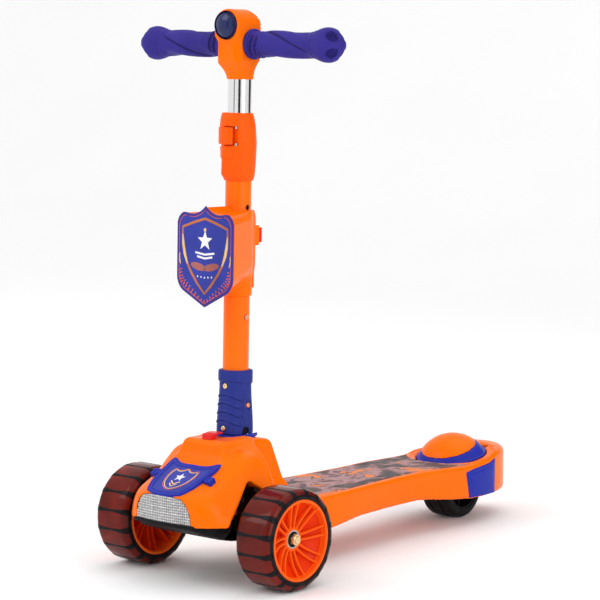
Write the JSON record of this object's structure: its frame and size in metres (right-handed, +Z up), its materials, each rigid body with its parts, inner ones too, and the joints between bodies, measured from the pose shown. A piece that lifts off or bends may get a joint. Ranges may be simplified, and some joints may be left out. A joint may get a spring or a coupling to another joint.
{
  "type": "kick scooter",
  "caption": "Children's three-wheel kick scooter that steers by leaning, with a folding column, a height-adjustable handlebar and a domed foot brake.",
  "frame": {"origin": "on the ground, under the centre of the scooter's bounding box", "axes": "front is -Y, the rider's left is +X, up is +Z"},
  "size_m": [0.311, 0.643, 0.6675],
  "materials": {
    "orange_plastic": "gloss",
    "blue_plastic": "gloss",
    "red_plastic": "gloss",
    "clamp_plastic": "satin",
    "black_plastic": "satin",
    "navy_plastic": "gloss",
    "grip_rubber": "satin",
    "painted_tube": "gloss",
    "chrome": "polished",
    "steel": "zinc plated",
    "aluminium": "cast",
    "tyre_red": "translucent polyurethane, gloss",
    "tyre_black": "satin",
    "rim_plastic": "gloss",
    "lens": "moulded grid",
    "circuit_board": "solder mask",
    "grip_sheet": "printed matte",
    "bushing_rubber": "matte"
  },
  "bodies": {
    "deck": {"deck_shell": "orange_plastic", "grip_sheet": "grip_sheet", "tail_panels": "blue_plastic", "front_housing": "orange_plastic", "base_tray": "black_plastic", "bumper_strip": "black_plastic", "headlight_lens": "lens", "headlight_board": "circuit_board", "bonnet_shield": "blue_plastic", "column_flange": "blue_plastic", "fold_bracket": "aluminium", "fold_pivot_bolt": "black_plastic", "steering_bridge": "aluminium", "kingpins": "steel", "steer_bushings": "bushing_rubber", "rear_axle_bolt": "steel", "brake_pivot_pin": "steel", "brake_spring": "steel", "underside_screws": "steel"},
    "column": {"fold_sleeve": "blue_plastic", "sleeve_screws": "steel", "outer_tube": "painted_tube", "clamp_collar": "clamp_plastic", "clamp_pin": "steel", "shield_box": "orange_plastic", "shield_plate": "blue_plastic", "box_cover": "orange_plastic", "box_screws": "steel", "speaker": "black_plastic", "sound_board": "circuit_board", "battery_cells": "steel"},
    "handlebar": {"inner_tube": "chrome", "handlebar_tube": "steel", "head_front": "orange_plastic", "head_rear": "orange_plastic", "grip_left": "grip_rubber", "grip_right": "grip_rubber", "height_button": "steel", "head_screws": "steel"},
    "lever": {"clamp_lever": "clamp_plastic"},
    "horn": {"horn_button": "navy_plastic"},
    "sound_button": {"box_button": "red_plastic"},
    "release": {"fold_release": "red_plastic"},
    "brake": {"brake_dome": "orange_plastic", "brake_band": "blue_plastic", "brake_shoe": "black_plastic"},
    "steer_left": {"knuckle_left": "black_plastic", "stub_axle_left": "steel"},
    "steer_right": {"knuckle_right": "black_plastic", "stub_axle_right": "steel"},
    "tie_rod": {"tie_rod": "steel"},
    "wheel_left": {"tyre_left": "tyre_red", "rim_left": "rim_plastic", "bearings_left": "steel"},
    "wheel_right": {"tyre_right": "tyre_red", "rim_right": "rim_plastic", "bearings_right": "steel"},
    "wheel_rear": {"rear_tyre": "tyre_black", "rear_rim": "black_plastic", "rear_bearings": "steel"}
  },
  "joints": [
    {"name": "column_fold", "type": "hinge", "parent": "deck", "child": "column", "pos_m": [0, -0.193, 0.169], "axis": [-1, 0, 0], "range_deg": [0, 88]},
    {"name": "height_slide", "type": "slide", "parent": "column", "child": "handlebar", "axis": [0, 0.027, 0.9996], "range_m": [0, 0.13], "deforming": ["height_button"]},
    {"name": "lever_swing", "type": "hinge", "parent": "column", "child": "lever", "pos_m": [0.004, -0.20373, 0.51942], "axis": [0, 0.027, 0.9996], "range_deg": [0, 90]},
    {"name": "horn_press", "type": "slide", "parent": "handlebar", "child": "horn", "axis": [0, 0.9996, -0.027], "range_m": [0, 0.003], "stiffness_N_per_m": 600, "springref_m": -0.001},
    {"name": "sound_press", "type": "slide", "parent": "column", "child": "sound_button", "axis": [0, -0.9996, 0.027], "range_m": [0, 0.0025], "stiffness_N_per_m": 600, "springref_m": -0.001},
    {"name": "release_press", "type": "slide", "parent": "deck", "child": "release", "axis": [0, 0, -1], "range_m": [0, 0.0025], "stiffness_N_per_m": 800, "springref_m": -0.002},
    {"name": "brake_press", "type": "hinge", "parent": "deck", "child": "brake", "pos_m": [0, 0.18318, 0.07103], "axis": [-1, 0, 0], "range_deg": [0, 4], "stiffness_Nm_per_rad": 2, "springref_deg": -5.73},
    {"name": "steer_turn_left", "type": "hinge", "parent": "deck", "child": "steer_left", "pos_m": [0.058, -0.232, 0.08], "axis": [0, 0.4226, 0.9063], "range_deg": [-8, 8], "stiffness_Nm_per_rad": 6},
    {"name": "steer_turn_right", "type": "hinge", "parent": "deck", "child": "steer_right", "pos_m": [-0.058, -0.232, 0.08], "axis": [0, 0.4226, 0.9063], "range_deg": [-8, 8], "stiffness_Nm_per_rad": 6},
    {"name": "tie_rod_turn", "type": "hinge", "parent": "steer_left", "child": "tie_rod", "pos_m": [0.058, -0.25412, 0.10355], "axis": [0, 0.4226, 0.9063], "range_deg": [-8, 8]},
    {"name": "spin_left", "type": "hinge", "parent": "steer_left", "child": "wheel_left", "pos_m": [0.113, -0.232, 0.06], "axis": [1, 0, 0], "continuous": true},
    {"name": "spin_right", "type": "hinge", "parent": "steer_right", "child": "wheel_right", "pos_m": [-0.113, -0.232, 0.06], "axis": [1, 0, 0], "continuous": true},
    {"name": "spin_rear", "type": "hinge", "parent": "deck", "child": "wheel_rear", "pos_m": [0, 0.232, 0.04], "axis": [1, 0, 0], "continuous": true}
  ],
  "couplings": [
    {"joint": "steer_turn_right", "follows": "steer_turn_left", "ratio": 1},
    {"joint": "tie_rod_turn", "follows": "steer_turn_left", "ratio": -1}
  ]
}
